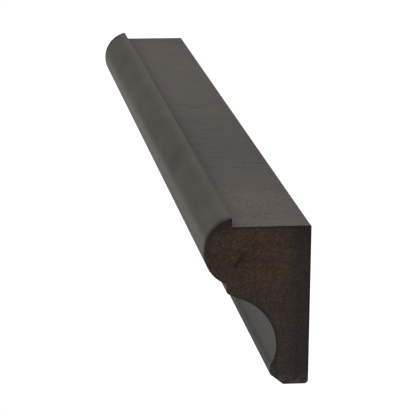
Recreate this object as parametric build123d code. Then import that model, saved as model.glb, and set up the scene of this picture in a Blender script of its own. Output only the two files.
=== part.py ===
from build123d import *
import math
import os

# Light rail moulding: one length of solid wood run to a moulded section.
# It lies on its flat back. X runs from the foot to the lip, Y along the
# stock and Z up from the back face, and the origin is the middle of the back.
# In the section, a depth is measured off the back face and a rise up from
# the foot.

# Stock, in millimetres
length = 304.8
height = 50.8
depth = 31.5

# Lip in front of the flat top, and the bead that it crowns
lip_height = 2.5
bead_stand = 8.1
bead_radius = 10.3

# Rounded quirk under the bead, the narrow fillet and the small round below it
quirk_width = 1.5
quirk_drop = 1.8
fillet_setback = 6.8
fillet_height = 1.1
round_radius = 0.9

# Cove: its straight upper run, its waist, and how far the land stands out
cove_run = 5.7
waist_depth = 9.8
waist_rise = 11.8
land_stand = 1.7
land_height = 2.7

# Foot, with the chamfer in front and the eased arrises of the back
chamfer_width = 4.0
chamfer_rise = 3.2
heel_radius = 1.2
arris_radius = 0.5


def at(rise, off_back):
    """A point of the section, in the sketch's own X and Y."""
    return Vector(rise - height / 2, off_back)


def top_and_bead():
    """The flat top, the lip's inner face and the bead round to the quirk."""
    flat_rise = height - lip_height
    lip_depth = depth - bead_stand
    crown = at(height, lip_depth)
    bead_middle = depth - bead_radius
    bead_rise = height - math.sqrt(bead_radius**2 - (lip_depth - bead_middle) ** 2)
    foot_depth = depth - fillet_setback + quirk_width
    foot_rise = bead_rise - math.sqrt(bead_radius**2 - (foot_depth - bead_middle) ** 2)
    bead_foot = at(foot_rise, foot_depth)
    flat = Polyline(at(flat_rise, arris_radius), at(flat_rise, lip_depth), crown)
    bead = ThreePointArc(crown, at(bead_rise, depth), bead_foot)
    return [flat, bead], bead_foot


def quirk_and_fillet(bead_foot):
    """The rounded quirk and the narrow fillet, down to the small round."""
    fillet_depth = depth - fillet_setback
    fillet_top = Vector(bead_foot.X - quirk_drop, fillet_depth)
    fillet_foot = fillet_top - Vector(fillet_height, 0)
    quirk = TangentArc(fillet_top, bead_foot, tangent=(1, 0))
    return [quirk, Line(fillet_top, fillet_foot)], fillet_foot


def cove(fillet_foot):
    """The small round, the straight run tangent to it and the hollow below."""
    waist = at(waist_rise, waist_depth)
    round_middle = fillet_foot - Vector(0, round_radius)
    from_waist = round_middle - waist
    span = from_waist.X**2 + from_waist.Y**2 - round_radius**2 - cove_run**2
    cove_radius = span / (2 * (from_waist.Y + round_radius))
    cove_middle = waist + Vector(0, cove_radius)
    across = cove_middle - round_middle
    bearing = math.degrees(math.atan2(-across.X, -across.Y))
    slope = bearing - math.degrees(math.atan2(cove_radius + round_radius, cove_run))
    small_round = JernArc(start=fillet_foot, tangent=(-1, 0), radius=round_radius, arc_size=90 - slope)
    run = Line(small_round @ 1, small_round @ 1 + (small_round % 1) * cove_run)
    hollow = JernArc(start=run @ 1, tangent=run % 1, radius=cove_radius, arc_size=slope - 90)
    land = at(chamfer_rise + land_height, waist_depth + land_stand)
    lower = TangentArc(hollow @ 1, land, tangent=(-1, 0))
    return [small_round, run, hollow, lower]


def foot_and_back():
    """The land, the chamfer, the foot and the back with its eased arrises."""
    land_depth = waist_depth + land_stand
    flat_rise = height - lip_height
    front = Polyline(
        at(chamfer_rise + land_height, land_depth),
        at(chamfer_rise, land_depth),
        at(0, land_depth - chamfer_width),
        at(0, heel_radius),
    )
    heel = TangentArc(at(0, heel_radius), at(heel_radius, 0), tangent=(0, -1))
    back = Line(at(heel_radius, 0), at(flat_rise - arris_radius, 0))
    arris = TangentArc(back @ 1, at(flat_rise, arris_radius), tangent=(1, 0))
    return [front, heel, back, arris]


def light_rail():
    """The moulded section, run to the length of the stock."""
    upper, bead_foot = top_and_bead()
    middle, fillet_foot = quirk_and_fillet(bead_foot)
    lines = upper + middle + cove(fillet_foot) + foot_and_back()
    outline = Wire([edge for line in lines for edge in line.edges()])
    section = Plane.XZ * make_face(outline)
    return extrude(section, amount=length / 2, both=True)


os.makedirs("parts", exist_ok=True)
export_step(light_rail(), "parts/light_rail.step")
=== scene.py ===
import math

import bmesh
import bpy
from mathutils import Matrix, Vector


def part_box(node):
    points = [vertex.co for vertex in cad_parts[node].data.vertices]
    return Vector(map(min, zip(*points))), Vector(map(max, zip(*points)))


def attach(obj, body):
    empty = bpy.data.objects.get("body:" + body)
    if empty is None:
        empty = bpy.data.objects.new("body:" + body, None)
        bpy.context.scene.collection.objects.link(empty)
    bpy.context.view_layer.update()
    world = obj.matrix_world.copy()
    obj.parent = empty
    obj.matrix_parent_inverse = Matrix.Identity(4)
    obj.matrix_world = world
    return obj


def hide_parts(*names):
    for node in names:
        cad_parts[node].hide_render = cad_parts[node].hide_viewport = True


# Light rail moulding: a length of wood with a painted section and bare sawn
# ends, lying on its back. X runs from the foot to the lip, Y along the stock
# and Z up from the back face. All sizes are in metres.

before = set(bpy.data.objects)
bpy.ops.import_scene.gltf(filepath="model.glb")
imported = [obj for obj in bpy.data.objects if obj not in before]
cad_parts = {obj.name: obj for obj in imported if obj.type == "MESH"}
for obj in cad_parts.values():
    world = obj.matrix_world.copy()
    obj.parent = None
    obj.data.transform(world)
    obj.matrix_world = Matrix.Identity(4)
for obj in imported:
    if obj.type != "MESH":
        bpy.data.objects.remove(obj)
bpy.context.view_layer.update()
stock_low, stock_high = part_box("light_rail")
height = stock_high.x - stock_low.x
length = stock_high.y - stock_low.y
MM = 0.001

# The section, as the solid has it. The depth isn't read from the box, because
# the facets of the solid's bead stop just short of it.
depth = 31.5 * MM
lip_height = 2.5 * MM
bead_stand = 8.1 * MM
bead_radius = 10.3 * MM
quirk_width = 1.5 * MM
quirk_drop = 1.8 * MM
fillet_setback = 6.8 * MM
fillet_height = 1.1 * MM
round_radius = 0.9 * MM
cove_run = 5.7 * MM
waist_depth = 9.8 * MM
waist_rise = 11.8 * MM
land_stand = 1.7 * MM
land_height = 2.7 * MM
chamfer_width = 4.0 * MM
chamfer_rise = 3.2 * MM
heel_radius = 1.2 * MM
arris_radius = 0.5 * MM

# Lines of the section that the outline and the finishes follow
flat_top_x = stock_high.x - lip_height
lip_foot_z = depth - bead_stand
bead_middle_z = depth - bead_radius
bead_middle_x = stock_high.x - math.sqrt(bead_radius**2 - (lip_foot_z - bead_middle_z) ** 2)
fillet_z = depth - fillet_setback
bead_foot_z = fillet_z + quirk_width
bead_foot_x = bead_middle_x - math.sqrt(bead_radius**2 - (bead_foot_z - bead_middle_z) ** 2)
fillet_foot_x = bead_foot_x - quirk_drop - fillet_height
waist_x = stock_low.x + waist_rise
land_z = waist_depth + land_stand
land_top_x = stock_low.x + chamfer_rise + land_height
foot_front_z = land_z - chamfer_width
chamfer_lean = math.atan2(chamfer_rise, chamfer_width)

# The cove's radius follows from the straight run between it and the small round
waist_to_round_x = fillet_foot_x - waist_x
waist_to_round_z = fillet_z - round_radius - waist_depth
cove_span = waist_to_round_x**2 + waist_to_round_z**2 - round_radius**2 - cove_run**2
cove_radius = cove_span / (2 * (waist_to_round_z + round_radius))
cove_middle_z = waist_depth + cove_radius

# Straight out from the back
outwards = Vector((0, 0, 1))

# How finely the section is drawn, what counts as an arris, a flat or an end,
# and how far paint and wear round the edges
arc_step = 0.45 * MM
fewest_arc_steps = 8
weld_gap = 0.01 * MM
arris_angle = math.radians(17)
flat_facing = 0.99
end_facing = 0.2
smooth_angle = math.radians(40)
paint_round = 0.25 * MM
sawn_round = 0.22 * MM
cross_cuts = 63

# Places along the stock: where the paint is darkest on the bead and on the
# flats, the bead's coat from thin to full, and the pores from shut to open
bead_darkest_y = -70 * MM
flat_darkest_y = -45 * MM
thin_coat_y = -130 * MM
full_coat_y = -10 * MM
shut_pores_y = -10 * MM
open_pores_y = stock_low.y + 10 * MM

# The end grain: the tree's middle, the width of its growth rings, and the
# length of its rays and their width at ray_distance from the tree's middle
pith = Vector((-0.09, 0.0, -0.03))
ring_width = 1.05 * MM
ray_length = 5 * MM
ray_width = 0.5 * MM
ray_distance = 110 * MM

# The dark streak in the near end
streak_middle = Vector((13.0 * MM, stock_low.y, 20.9 * MM))
streak_size = Vector((3.6 * MM, 40.0 * MM, 0.95 * MM))
streak_lean = math.radians(33)

# Light: the lamps' places, their sizes in metres and their power in watts
world_level = 0.1
key_place = Vector((2.2, -0.3, 0.45))
side_place = Vector((1.2, -0.8, 1.8))
fill_place = Vector((-0.8, -1.5, 1.5))
lamp_width = 1.6
key_height = 0.8
key_power = 17.0
side_power = 35.0
fill_power = 35.0

# The floor, and the card behind, whose right-hand edge ends the bright band
# along the bead
floor_width = 16.0
card_place = Vector((-1.03, 2.0, 0.4))
card_width = 1.5
card_grey = 0.55
shadow_grey = 0.25
card_glow = 0.9

# The photograph's view
view_target = Vector((-0.01048, 0.0, 0.00928))
view_azimuth = math.radians(14.453)
view_elevation = math.radians(7.686)
view_roll = math.radians(91.246)
view_distance = 0.8528
view_lens = 208.39
view_reach = 30.0


def chip(red, green, blue):
    """A paint chip's colour, from its 0 to 255 values to linear light."""
    parts = [value / 255 for value in (red, green, blue)]
    return [p / 12.92 if p <= 0.04045 else ((p + 0.055) / 1.055) ** 2.4 for p in parts] + [1.0]


def grey(level):
    """A neutral colour, in linear light."""
    return level, level, level, 1.0


def cell(across, along=None):
    """The size of a texture's cell across and along the stock, from millimetres."""
    return across * MM, (along or across) * MM, across * MM


class Value:
    """A number that varies over a surface: arithmetic on it adds Math nodes."""

    def __init__(self, nodes, socket):
        self.nodes = nodes
        self.socket = socket

    def maths(self, operation, *others):
        """The result of one node that works on this value and others."""
        inputs = dict(enumerate((self,) + others))
        node = self.nodes.node("ShaderNodeMath", {"operation": operation}, inputs)
        return Value(self.nodes, node.outputs[0])

    def __add__(self, other):
        return self.maths("ADD", other)

    __radd__ = __add__

    def __mul__(self, other):
        return self.maths("MULTIPLY", other)

    __rmul__ = __mul__

    def __sub__(self, other):
        return self.maths("SUBTRACT", other)

    def __rsub__(self, other):
        return self * -1 + other

    def __abs__(self):
        return self.maths("ABSOLUTE")

    def between(self, low, high):
        """0 at low and 1 at high, with a smooth rise."""
        inputs = {"Value": self, "From Min": low, "From Max": high}
        node = self.nodes.node("ShaderNodeMapRange", {"interpolation_type": "SMOOTHSTEP"}, inputs)
        return Value(self.nodes, node.outputs["Result"])


class Nodes:
    """The nodes of a material or a world."""

    def __init__(self, owner):
        self.owner = owner
        owner.use_nodes = True
        self.tree = owner.node_tree

    def node(self, kind, settings=None, inputs=None):
        """Adds a node: its settings first, then the values or links of its sockets."""
        new = self.tree.nodes.new(kind)
        for name, value in (settings or {}).items():
            setattr(new, name, value)
        for name, value in (inputs or {}).items():
            self.join(value, new.inputs[name])
        return new

    def join(self, value, socket):
        """Links a value to a socket, or sets the socket to it."""
        if isinstance(value, Value):
            value = value.socket
        if isinstance(value, bpy.types.NodeSocket):
            self.tree.links.new(value, socket)
        else:
            socket.default_value = value


class Finish(Nodes):
    """A material, read in the moulding's own coordinates."""

    def __init__(self, name):
        super().__init__(bpy.data.materials.new(name))
        self.shader = self.tree.nodes["Principled BSDF"]
        self.place = self.node("ShaderNodeTexCoord").outputs["Object"]

    def set(self, **values):
        """Sets the shader's sockets, whose names have _ here for each space."""
        for name, value in values.items():
            self.join(value, self.shader.inputs[name.replace("_", " ")])

    def vector_maths(self, operation, *vectors):
        """The outputs of one node that works on vectors."""
        inputs = dict(enumerate(vectors))
        return self.node("ShaderNodeVectorMath", {"operation": operation}, inputs).outputs

    def mapped(self, size, turn=(0, 0, 0), shift=(0, 0, 0)):
        """Object coordinates counted in cells of that size along X, Y and Z."""
        inputs = {"Vector": self.place, "Location": shift, "Rotation": turn}
        turned = self.node("ShaderNodeMapping", {"vector_type": "TEXTURE"}, inputs).outputs[0]
        return self.vector_maths("MULTIPLY", turned, [1 / side for side in size])[0]

    def noise(self, where, detail=2.0, roughness=0.5):
        """Soft clouds from 0 to 1, about a cell wide."""
        inputs = {"Vector": where, "Scale": 1.0, "Detail": detail, "Roughness": roughness}
        return Value(self, self.node("ShaderNodeTexNoise", None, inputs).outputs["Fac"])

    def cells(self, where):
        """How far a point is from the middle of its cell, and the cell's own chance number."""
        made = self.node("ShaderNodeTexVoronoi", None, {"Vector": where, "Scale": 1.0}).outputs
        chance = self.node("ShaderNodeSeparateColor", None, {0: made["Color"]}).outputs[0]
        return Value(self, made["Distance"]), Value(self, chance)

    def part_of(self, vector, number):
        """A vector's part along X, Y or Z, which are 0, 1 and 2."""
        parts = self.node("ShaderNodeSeparateXYZ", None, {0: vector}).outputs
        return Value(self, parts[number])

    def axis(self, number):
        """Where a point is along X, Y or Z, in metres."""
        return self.part_of(self.place, number)

    def facing_along(self):
        """1 where a face looks along the stock, as a sawn end does, and 0 where it looks across."""
        return abs(self.part_of(self.node("ShaderNodeTexCoord").outputs["Normal"], 1))

    def away_from(self, x, z):
        """How far a point is from a line along the stock, in metres."""
        across = self.vector_maths("MULTIPLY", self.place, (1, 0, 1))[0]
        return Value(self, self.vector_maths("DISTANCE", across, (x, 0, z))["Value"])

    def blend(self, share, first, second):
        """The first colour, turning into the second as share goes from 0 to 1."""
        # Sockets 6 and 7 take the two colours, and output 2 gives the blend.
        inputs = {0: share, 6: first, 7: second}
        return self.node("ShaderNodeMix", {"data_type": "RGBA"}, inputs).outputs[2]

    def relief(self, form, rise, under=None):
        """A bump that is rise metres high where form is 1, over the bump under it."""
        inputs = {"Height": form, "Distance": rise}
        if under is not None:
            inputs["Normal"] = under
        return self.node("ShaderNodeBump", None, inputs).outputs["Normal"]


def show_paint():
    """Satin grey-brown paint on the bead, the cove and the foot, less glossy in the hollow, with
    painted shade below the bead, on the land and by the ends, painted light in the low cove and
    painted highlights on the bead and the lip.
    """
    paint = Finish("show_paint")
    rise, along, off_back = (paint.axis(number) for number in range(3))
    broad = paint.noise(paint.mapped(cell(9, 20)))
    grain = paint.noise(paint.mapped(cell(1.2, 45)))
    peel = paint.noise(paint.mapped(cell(0.9, 1.4)), detail=1.0)
    nib = paint.cells(paint.mapped(cell(5, 8)))[0].between(0.07, 0.03)

    on_bead = rise.between(bead_foot_x - 1 * MM, bead_foot_x + 1 * MM)
    # The bead's paint is lighter away from its darkest place
    paler_off_darkest = (abs(along - bead_darkest_y).between(20 * MM, 140 * MM) - 0.5) * on_bead
    tone = (broad - 0.5) * 1.5 + (grain - 0.5) * 0.15 + paler_off_darkest * 0.45 + 0.5
    colour = paint.blend(tone, chip(68, 65, 61), chip(85, 82, 77))

    painted_light_low_cove = rise.between(land_top_x + 9 * MM, land_top_x)
    land = rise.between(land_top_x + 2.0 * MM, land_top_x - 0.4 * MM)
    # Painted shade: the paint below the bead turns darker and greyer, as in the bead's shadow
    colour = paint.blend((1 - on_bead) * 0.27, colour, chip(58, 57, 58))
    # Painted light in the low cove, which the bead keeps from the lamps
    colour = paint.blend(painted_light_low_cove * 0.18, colour, chip(104, 102, 99))
    # Painted shade on the land
    colour = paint.blend(land * 0.5, colour, chip(50, 49, 48))

    # Painted highlight: a lighter band along the bead's outer face
    painted_bead_highlight = rise.between(bead_middle_x - 1.5 * MM, bead_middle_x + 0.5 * MM)
    painted_bead_highlight = painted_bead_highlight * rise.between(bead_middle_x + 5.0 * MM, bead_middle_x + 2.0 * MM)
    colour = paint.blend(painted_bead_highlight * 0.28, colour, chip(104, 101, 96))

    # Painted highlight on the lip's crown, and painted shade along its inner edge beside the flat
    lip_crown = rise.between(stock_high.x - 1.4 * MM, stock_high.x - 0.5 * MM)
    lip_crease_shade = off_back.between(lip_foot_z + 0.9 * MM, lip_foot_z + 0.3 * MM)
    colour = paint.blend(lip_crown * 0.1, colour, chip(110, 104, 96))
    colour = paint.blend(lip_crease_shade * lip_crown * 0.35, colour, chip(40, 37, 34))

    # Painted shade on the bead near both sawn ends
    painted_end_shade = abs(along).between(length / 2 - 4.8 * MM, length / 2)
    colour = paint.blend(painted_end_shade * on_bead * (peel * 0.5 + 0.55), colour, chip(30, 26, 25))

    coat = along.between(thin_coat_y, full_coat_y) * 0.065 + 0.035
    paint.set(
        Base_Color=colour,
        Roughness=(broad - 0.5) * 0.12 + (peel - 0.5) * 0.06 + 0.6,
        Specular_IOR_Level=0.06,
        Coat_Weight=on_bead * coat + 0.03,
        Coat_Roughness=0.28,
        Normal=paint.relief(nib, 0.02 * MM, paint.relief(peel + grain * 0.8, 0.006 * MM)),
    )
    return paint.owner


def flat_paint():
    """The same paint over the pores and planer marks of the flat top and the back."""
    paint = Finish("flat_paint")
    along, off_back = paint.axis(1), paint.axis(2)
    broad = paint.noise(paint.mapped(cell(14, 30)))
    grain = paint.noise(paint.mapped(cell(0.7, 30)), detail=3.0)
    speckle = paint.noise(paint.mapped(cell(0.6, 1.0)), detail=1.0)
    patch = paint.noise(paint.mapped(cell(12, 22), shift=(0, 7 * MM, 0)), detail=1.0)

    open_grain = along.between(shut_pores_y, open_pores_y) * 0.5
    open_grain = open_grain + off_back.between(lip_foot_z, 2 * MM) * 0.15
    depth_in, chance = paint.cells(paint.mapped(cell(1.1, 2.4)))
    chosen = (chance + open_grain + (patch - 0.5) * 0.6).between(1.0, 1.3)
    pores = (depth_in + (speckle - 0.5) * 0.3).between(0.36, 0.1) * chosen

    chatter = paint.noise(paint.mapped(cell(9, 0.8))).between(0.52, 0.68)
    chattered = paint.noise(paint.mapped(cell(40, 18)), detail=1.0).between(0.44, 0.6)
    marks = chatter * chattered

    painted_light_by_lip = off_back.between(lip_foot_z - 3.5 * MM, lip_foot_z - 0.5 * MM)
    painted_crease_shade = off_back.between(lip_foot_z - 1.0 * MM, lip_foot_z - 0.2 * MM)
    painted_crease_shade = painted_crease_shade * patch.between(0.3, 0.6)

    paler = abs(along - flat_darkest_y).between(0, 85 * MM)
    tone = (broad - 0.5) * 0.6 + (grain - 0.5) * 0.25 + (speckle - 0.5) * 0.5 + paler * 0.4 + 0.33
    colour = paint.blend(tone, chip(78, 74, 71), chip(98, 93, 89))
    colour = paint.blend(marks * 0.42, colour, chip(60, 56, 52))
    colour = paint.blend(pores * 0.42, colour, chip(42, 38, 35))
    # Painted light on the flat beside the lip, against the lip's shade
    colour = paint.blend(painted_light_by_lip * 0.12, colour, chip(112, 106, 99))
    # Painted shade in the crease at the lip's foot, patchy along it
    colour = paint.blend(painted_crease_shade * 0.5, colour, chip(52, 46, 38))

    surface = paint.relief(grain + speckle * 0.5 - marks * 0.6, 0.015 * MM)
    paint.set(
        Base_Color=colour,
        Roughness=(grain - 0.5) * 0.12 + pores * 0.1 + 0.68,
        Specular_IOR_Level=0.02,
        Normal=paint.relief(1 - pores, 0.06 * MM, surface),
    )
    return paint.owner


def rings_and_rays(wood, across, rise):
    """The growth rings and the rays, laid out round the tree's middle."""
    wobble = wood.noise(wood.mapped(cell(9)))
    ripple = wood.noise(wood.mapped(cell(2.5)), detail=1.0)
    radius = wood.away_from(pith.x, pith.z)
    radius = radius + (wobble - 0.5) * (5 * MM) + (ripple - 0.5) * (1.6 * MM)
    rings = (radius * (2 * math.pi / ring_width)).maths("SINE") * 0.5 + 0.5
    bearing = (across - pith.z).maths("ARCTAN2", rise - pith.x)
    spoke = {0: radius * (1 / ray_length), 1: bearing * (ray_distance / ray_width)}
    rays = wood.noise(wood.node("ShaderNodeCombineXYZ", None, spoke).outputs[0])
    return rings, rays.between(0.5, 0.75)


def dark_streak(wood, mottle):
    """1 in the dark streak of the near end, with an uneven edge."""
    streak = wood.mapped(streak_size, turn=(0, streak_lean, 0), shift=streak_middle)
    from_streak = Value(wood, wood.vector_maths("LENGTH", streak)["Value"])
    return (from_streak + (mottle - 0.5) * 0.8).between(1.0, 0.3)


def darken_rims(wood, colour, across, rise):
    """Darkens the end along its edges."""
    cove_rim = wood.away_from(waist_x, cove_middle_z)
    cove_rim = cove_rim.between(cove_radius + 1.6 * MM, cove_radius + 0.3 * MM)
    colour = wood.blend(cove_rim * 0.45, colour, chip(30, 26, 26))

    in_lip = rise.between(flat_top_x - 1 * MM, flat_top_x + 1 * MM)
    colour = wood.blend(in_lip * 0.6, colour, chip(34, 26, 24))

    bead_rim = wood.away_from(bead_middle_x, bead_middle_z)
    bead_rim = bead_rim.between(bead_radius - 2.8 * MM, bead_radius - 0.2 * MM)
    bead_rim = bead_rim * across.between(lip_foot_z - 3 * MM, lip_foot_z)
    upper_bead = rise.between(bead_middle_x - 4 * MM, bead_middle_x + 5 * MM)
    colour = wood.blend(bead_rim * upper_bead * 0.7, colour, chip(32, 24, 24))

    top_rim = rise.between(flat_top_x - 1.1 * MM, flat_top_x - 0.5 * MM)
    top_rim = top_rim * rise.between(flat_top_x, flat_top_x - 0.3 * MM)
    colour = wood.blend(top_rim * 0.5, colour, chip(28, 22, 20))

    back_rim = across.between(1 * MM, 0.1 * MM)
    colour = wood.blend(back_rim * 0.7, colour, chip(18, 15, 16))

    # Darker on the rounded rim, where the faces turn away from the end
    dark_rounded_rim = wood.facing_along().between(0.995, 0.8)
    return wood.blend(dark_rounded_rim * 0.6, colour, chip(24, 20, 20))


def dust(across, rise, mottle):
    """1 where pale dust lies, in patches along the foot and the chamfer."""
    by_foot = rise.between(stock_low.x + 4 * MM, stock_low.x + 0.5 * MM)
    from_chamfer = (rise - stock_low.x) * math.cos(chamfer_lean)
    from_chamfer = from_chamfer - (across - foot_front_z) * math.sin(chamfer_lean)
    dusty = by_foot.maths("MAXIMUM", from_chamfer.between(2.6 * MM, 0.8 * MM))
    return dusty * mottle.between(0.4, 0.55)


def end_grain():
    """The sawn end: dark stained wood with growth rings, rays, pores and torn fibres, and painted
    shade towards the foot, the back and the corner between the flat top and the back.
    """
    wood = Finish("end_grain")
    rise, across = wood.axis(0), wood.axis(2)
    rings, rays = rings_and_rays(wood, across, rise)
    fibre = wood.noise(wood.mapped(cell(0.7)), detail=3.0, roughness=0.65)
    mottle = wood.noise(wood.mapped(cell(2.0)))
    blotch = wood.noise(wood.mapped(cell(7), shift=(9 * MM, 0, 5 * MM)))
    tint = wood.noise(wood.mapped(cell(2.4), shift=(0, 0, 30 * MM)))

    tone = (blotch - 0.5) * 0.8 + (mottle - 0.5) * 1.5 + 0.5
    colour = wood.blend(tone, chip(48, 37, 29), chip(72, 59, 46))
    ringed = across.between(6 * MM, 16 * MM) * rise.between(-10 * MM, 12 * MM) * 0.34 + 0.05
    colour = wood.blend(rings * ringed, colour, chip(36, 27, 22))
    colour = wood.blend(rays * 0.2, colour, chip(82, 68, 56))
    colour = wood.blend(tint.between(0.52, 0.68) * 0.4, colour, chip(70, 52, 48))
    colour = wood.blend(tint.between(0.48, 0.34) * 0.4, colour, chip(58, 52, 36))

    depth_in, chance = wood.cells(wood.mapped(cell(0.9)))
    pores = depth_in.between(0.3, 0.15)
    filled = pores * chance.between(0.9, 0.98) * across.between(12 * MM, 8 * MM)
    colour = wood.blend(pores * 0.3, colour, chip(22, 17, 15))
    colour = wood.blend(filled * 0.7, colour, chip(84, 78, 75))

    # Painted shade: the end darkens towards the foot, towards the back and in the corner between the
    # flat top and the back
    low = rise.between(12 * MM, -12 * MM)
    painted_shade_by_back = across.between(10 * MM, 2 * MM)
    painted_shade_corner = rise.between(flat_top_x - 9 * MM, flat_top_x - 2 * MM) * across.between(9 * MM, 3 * MM)
    colour = wood.blend(low * 0.5, colour, chip(54, 48, 46))
    colour = wood.blend(painted_shade_by_back * 0.8, colour, chip(41, 37, 37))
    colour = wood.blend(fibre.between(0.38, 0.66) * 0.48 + 0.5, chip(26, 20, 17), colour)
    colour = wood.blend(painted_shade_corner * 0.35, colour, chip(22, 20, 21))
    colour = wood.blend(dark_streak(wood, mottle) * 0.7, colour, chip(30, 20, 15))
    colour = darken_rims(wood, colour, across, rise)
    colour = wood.blend(dust(across, rise, mottle) * 0.6, colour, chip(64, 63, 66))

    wood.set(
        Base_Color=colour,
        Roughness=fibre * 0.1 + 0.78,
        Specular_IOR_Level=0.1,
        Normal=wood.relief(fibre + mottle * 0.5 + rings * 0.2 - pores, 0.08 * MM),
    )
    return wood.owner


def on_near_end(x, z):
    """A point in the plane of the near end, where the section is drawn."""
    return Vector((x, stock_low.y, z))


def at(rise, off_back):
    """The same, by its rise from the foot and its depth off the back."""
    return on_near_end(stock_low.x + rise, off_back)


def start_outline(point):
    """One vertex to draw from: a small plane, merged into its middle."""
    bpy.ops.object.select_all(action="DESELECT")
    bpy.ops.mesh.primitive_plane_add(size=MM, location=point)
    bpy.ops.object.transform_apply(location=True, rotation=True, scale=True)
    bpy.ops.object.mode_set(mode="EDIT")
    bpy.ops.mesh.merge(type="CENTER")


def tip():
    """The end of the outline, the one vertex that is selected."""
    mesh = bmesh.from_edit_mesh(bpy.context.object.data)
    return next(vertex.co.copy() for vertex in mesh.verts if vertex.select)


def line_to(point):
    """Draws the outline straight on to a point."""
    bpy.ops.mesh.extrude_region_move(TRANSFORM_OT_translate={"value": point - tip()})


def arc_to(point, middle):
    """Spins the tip round to a point, the shorter way about the middle."""
    start, end = tip() - middle, point - middle
    sweep = math.atan2(end.z, end.x) - math.atan2(start.z, start.x)
    sweep = (sweep + math.pi) % (2 * math.pi) - math.pi
    steps = max(fewest_arc_steps, round(abs(sweep) * start.length / arc_step))
    bpy.ops.mesh.spin(steps=steps, angle=sweep, center=middle, axis=(0, 1, 0))


def arc_middle(point, end, towards):
    """The middle of the arc that leaves a point square to towards, and ends at end."""
    chord = end - point
    return point + towards * (chord.length_squared / (2 * chord.dot(towards)))


def draw_bead():
    """From the lip's crown round the bead and the quirk to the foot of the fillet."""
    bead_foot = on_near_end(bead_foot_x, bead_foot_z)
    fillet_foot = on_near_end(fillet_foot_x, fillet_z)
    fillet_top = fillet_foot + Vector((fillet_height, 0, 0))
    start_outline(at(height, lip_foot_z))
    arc_to(bead_foot, on_near_end(bead_middle_x, bead_middle_z))
    arc_to(fillet_top, arc_middle(fillet_top, bead_foot, outwards))
    line_to(fillet_foot)


def draw_cove():
    """The small round, the straight run tangent to it, and the hollow down to the land."""
    waist = on_near_end(waist_x, waist_depth)
    cove_middle = on_near_end(waist_x, cove_middle_z)
    round_middle = on_near_end(fillet_foot_x, fillet_z - round_radius)
    across = cove_middle - round_middle
    slope = math.atan2(-across.x, -across.z) - math.atan2(cove_radius + round_radius, cove_run)
    # Square to the straight run, away from the wood
    off_run = Vector((-math.cos(slope), 0, math.sin(slope)))
    land_top = at(chamfer_rise + land_height, land_z)
    arc_to(round_middle + off_run * round_radius, round_middle)
    line_to(cove_middle - off_run * cove_radius)
    arc_to(waist, cove_middle)
    arc_to(land_top, arc_middle(waist, land_top, outwards))


def draw_foot_and_back():
    """The land, the chamfer, the foot, the back and the flat top, to the start again."""
    flat_rise = height - lip_height
    line_to(at(chamfer_rise, land_z))
    line_to(at(0, foot_front_z))
    line_to(at(0, heel_radius))
    arc_to(at(heel_radius, 0), at(heel_radius, heel_radius))
    line_to(at(flat_rise - arris_radius, 0))
    arc_to(at(flat_rise, arris_radius), at(flat_rise - arris_radius, arris_radius))
    line_to(at(flat_rise, lip_foot_z))
    line_to(at(height, lip_foot_z))


def pick(kind, test):
    """Selects only the edges or the faces that pass a test."""
    bpy.ops.mesh.select_mode(type={"edges": "EDGE", "faces": "FACE"}[kind])
    bpy.ops.mesh.select_all(action="DESELECT")
    mesh = bmesh.from_edit_mesh(bpy.context.object.data)
    for item in getattr(mesh, kind):
        item.select_set(test(item))
    mesh.select_flush_mode()
    bmesh.update_edit_mesh(bpy.context.object.data)


def runs_along(edge):
    """True for an edge that runs the length of the stock."""
    start, end = (vertex.co for vertex in edge.verts)
    return abs(end.y - start.y) > length / 2


def is_arris(edge):
    """True for an edge where two faces meet at a clear angle."""
    return len(edge.link_faces) == 2 and edge.calc_face_angle(0) > arris_angle


def is_flat(face):
    """True for a face of the flat top beside the lip, or of the back."""
    beside_lip = face.calc_center_median().z < lip_foot_z
    return face.normal.x > flat_facing and beside_lip or face.normal.z < -flat_facing


def on_end(face):
    """True for a face of the sawn ends and their worn edges."""
    return abs(face.normal.y) > end_facing


def model_moulding():
    """Draws the section, runs it to length and rounds its arrises."""
    draw_bead()
    draw_cove()
    draw_foot_and_back()
    bpy.ops.mesh.select_all(action="SELECT")
    bpy.ops.mesh.remove_doubles(threshold=weld_gap)
    bpy.ops.mesh.edge_face_add()
    bpy.ops.mesh.extrude_region_move(TRANSFORM_OT_translate={"value": (0, length, 0)})
    bpy.ops.mesh.select_all(action="SELECT")
    bpy.ops.mesh.normals_make_consistent(inside=False)
    pick("edges", lambda edge: runs_along(edge) and is_arris(edge))
    bpy.ops.mesh.bevel(offset=paint_round, segments=3, affect="EDGES")
    pick("edges", lambda edge: not runs_along(edge) and is_arris(edge))
    bpy.ops.mesh.bevel(offset=sawn_round, segments=2, affect="EDGES")
    pick("edges", runs_along)
    bpy.ops.mesh.subdivide(number_cuts=cross_cuts)
    moulding = bpy.context.object
    moulding.name = "moulding"
    return moulding


def paint_moulding(moulding):
    """Gives the flats and the sawn ends their own finishes, and the rest the show paint."""
    for finish in (show_paint(), flat_paint(), end_grain()):
        moulding.data.materials.append(finish)
    for number, test in enumerate((is_flat, on_end), start=1):
        pick("faces", test)
        moulding.active_material_index = number
        bpy.ops.object.material_slot_assign()
    bpy.ops.object.mode_set(mode="OBJECT")
    bpy.ops.object.shade_smooth_by_angle(angle=smooth_angle)
    weighted = moulding.modifiers.new("flat_faces", "WEIGHTED_NORMAL")
    weighted.keep_sharp = True
    bpy.ops.object.modifier_apply(modifier=weighted.name)


def white_where_seen(nodes, plain, white):
    """Shows white to the camera, in gloss and through glass, and plain to the light."""
    path = nodes.node("ShaderNodeLightPath").outputs
    seen = Value(nodes, path["Is Camera Ray"]).maths("MAXIMUM", path["Is Glossy Ray"])
    seen = seen.maths("MAXIMUM", path["Is Transmission Ray"])
    return nodes.node("ShaderNodeMixShader", None, {0: seen, 1: plain, 2: white}).outputs[0]


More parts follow.
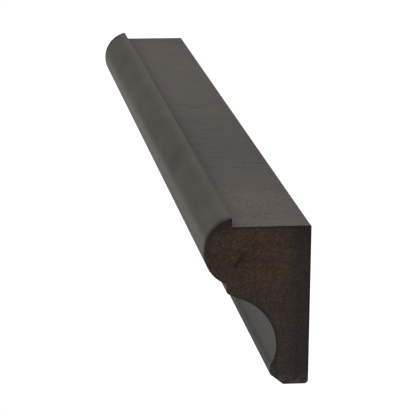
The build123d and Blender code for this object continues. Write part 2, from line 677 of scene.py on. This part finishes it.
def pale_card():
    """Matt pale card: white where it is seen, with the shadow that falls on it."""
    card = Nodes(bpy.data.materials.new("pale_card"))
    card.tree.nodes.clear()
    matt = card.node("ShaderNodeBsdfDiffuse", None, {"Color": grey(card_grey)})
    shaded = card.node("ShaderNodeBsdfDiffuse", None, {"Color": grey(shadow_grey)})
    glow = card.node("ShaderNodeEmission", None, {"Strength": card_glow})
    white = card.node("ShaderNodeAddShader", None, {0: shaded.outputs[0], 1: glow.outputs[0]})
    surface = white_where_seen(card, matt.outputs[0], white.outputs[0])
    card.node("ShaderNodeOutputMaterial", None, {"Surface": surface})
    return card.owner


def floor_and_backdrop():
    """The floor, and a low card that stands on it well behind the moulding."""
    card = pale_card()
    bpy.ops.object.select_all(action="DESELECT")
    bpy.ops.mesh.primitive_plane_add(size=floor_width, location=(0, 0, 0))
    ground = bpy.context.object
    ground.name = "floor"
    bpy.ops.object.select_all(action="DESELECT")
    bpy.ops.mesh.primitive_plane_add(size=1.0, location=card_place, rotation=(math.radians(90), 0, 0))
    bpy.ops.transform.resize(value=(card_width, 1.0, 2 * card_place.z))
    bpy.ops.object.transform_apply(location=True, rotation=True, scale=True)
    backdrop = bpy.context.object
    backdrop.name = "backdrop"
    for stage in (ground, backdrop):
        stage.data.materials.append(card)


def surround():
    """A soft even light from all round."""
    studio = Nodes(bpy.data.worlds.new("studio"))
    studio.tree.nodes.clear()
    plain = studio.node("ShaderNodeBackground", None, {"Color": grey(1.0), "Strength": world_level})
    studio.node("ShaderNodeOutputWorld", None, {"Surface": plain.outputs[0]})
    bpy.context.scene.world = studio.owner


def softbox(name, place, width, tall, power):
    """A soft lamp of that width and height at a place, turned to face the moulding."""
    data = bpy.data.lights.new(name, "AREA")
    data.shape = "RECTANGLE"
    data.size = width
    data.size_y = tall
    data.energy = power
    lamp = bpy.data.objects.new(name, data)
    lamp.location = place
    lamp.rotation_euler = (-place).to_track_quat("-Z", "Y").to_euler()
    lamp.visible_camera = False
    bpy.context.scene.collection.objects.link(lamp)


def camera():
    """The photograph's view, turned so that the lip is at the top of the picture."""
    back = Vector((
        math.sin(view_azimuth) * math.cos(view_elevation),
        -math.cos(view_azimuth) * math.cos(view_elevation),
        math.sin(view_elevation),
    ))
    level = (-back).to_track_quat("-Z", "Y").to_matrix()
    turned = level @ Matrix.Rotation(-view_roll, 3, "Z")
    data = bpy.data.cameras.new("view")
    data.lens = view_lens
    data.clip_end = view_reach
    eye = bpy.data.objects.new("view", data)
    eye.matrix_world = Matrix.Translation(view_target + back * view_distance) @ turned.to_4x4()
    bpy.context.scene.collection.objects.link(eye)
    bpy.context.scene.camera = eye


moulding = model_moulding()
paint_moulding(moulding)
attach(moulding, "root")
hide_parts("light_rail")

floor_and_backdrop()
surround()
softbox("key", key_place, lamp_width, key_height, key_power)
softbox("side", side_place, lamp_width, lamp_width, side_power)
softbox("fill", fill_place, lamp_width, lamp_width, fill_power)
camera()
bpy.context.scene.view_settings.view_transform = "Standard"
